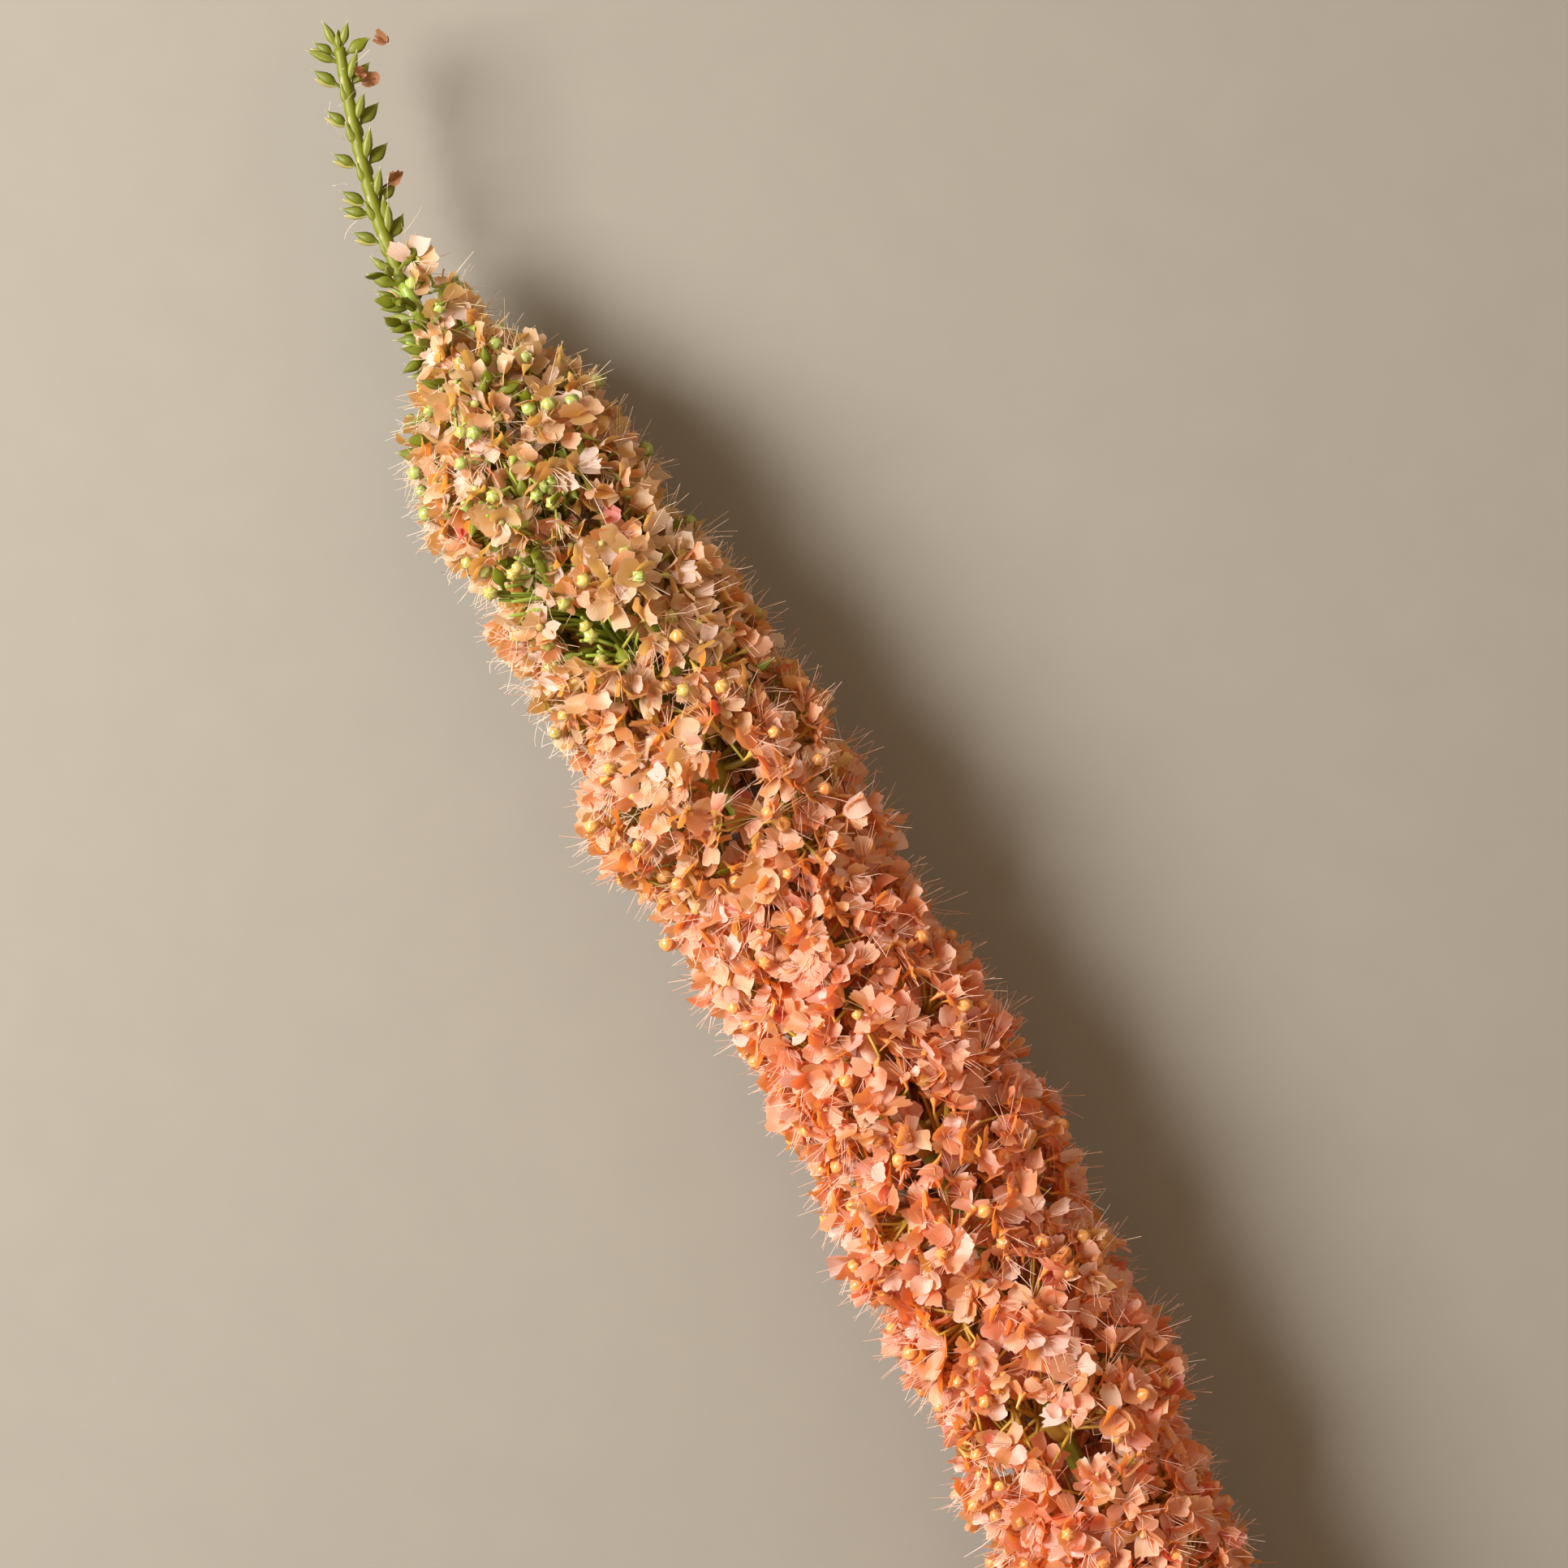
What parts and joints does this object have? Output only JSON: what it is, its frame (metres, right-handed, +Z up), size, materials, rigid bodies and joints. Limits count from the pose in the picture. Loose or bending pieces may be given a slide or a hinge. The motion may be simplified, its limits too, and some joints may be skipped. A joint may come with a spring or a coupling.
{
  "type": "artificial foxtail lily stem",
  "caption": "Cut artificial foxtail lily: a long spike of small cupped coral florets round a bowed green stem, with a bare green budded tip, lying on its side.",
  "frame": {"origin": "centre of the bounding box, on the surface that the flower lies on", "axes": "+X along the flower from the cut end to the budded tip, +Z up from the surface"},
  "size_m": [0.6624, 0.0759, 0.0636],
  "materials": {
    "petal_coral": "fine plain weave, stiffened and heat-cupped, translucent",
    "petal_peach": "fine plain weave, stiffened and heat-cupped, translucent",
    "stem_plastic": "satin moulded plastic over wire",
    "bud_plastic": "semi-gloss moulded plastic",
    "bead_plastic": "glossy ribbed beads, green in the upper tiers",
    "bristle_nylon": "clear stiff filament"
  },
  "bodies": {
    "root": {"stem": "stem_plastic", "bud_spike": "bud_plastic", "floret_tier_01": "petal_coral", "floret_tier_02": "petal_coral", "floret_tier_03": "petal_coral", "floret_tier_04": "petal_coral", "floret_tier_05": "petal_coral", "floret_tier_06": "petal_coral", "floret_tier_07": "petal_coral", "floret_tier_08": "petal_coral", "floret_tier_09": "petal_coral", "floret_tier_10": "petal_coral", "floret_tier_11": "petal_coral", "floret_tier_12": "petal_coral", "floret_tier_13": "petal_coral", "floret_tier_14": "petal_peach", "floret_tier_15": "petal_peach", "floret_tier_16": "petal_peach", "floret_tier_17": "petal_peach", "floret_tier_18": "petal_peach"}
  },
  "joints": []
}
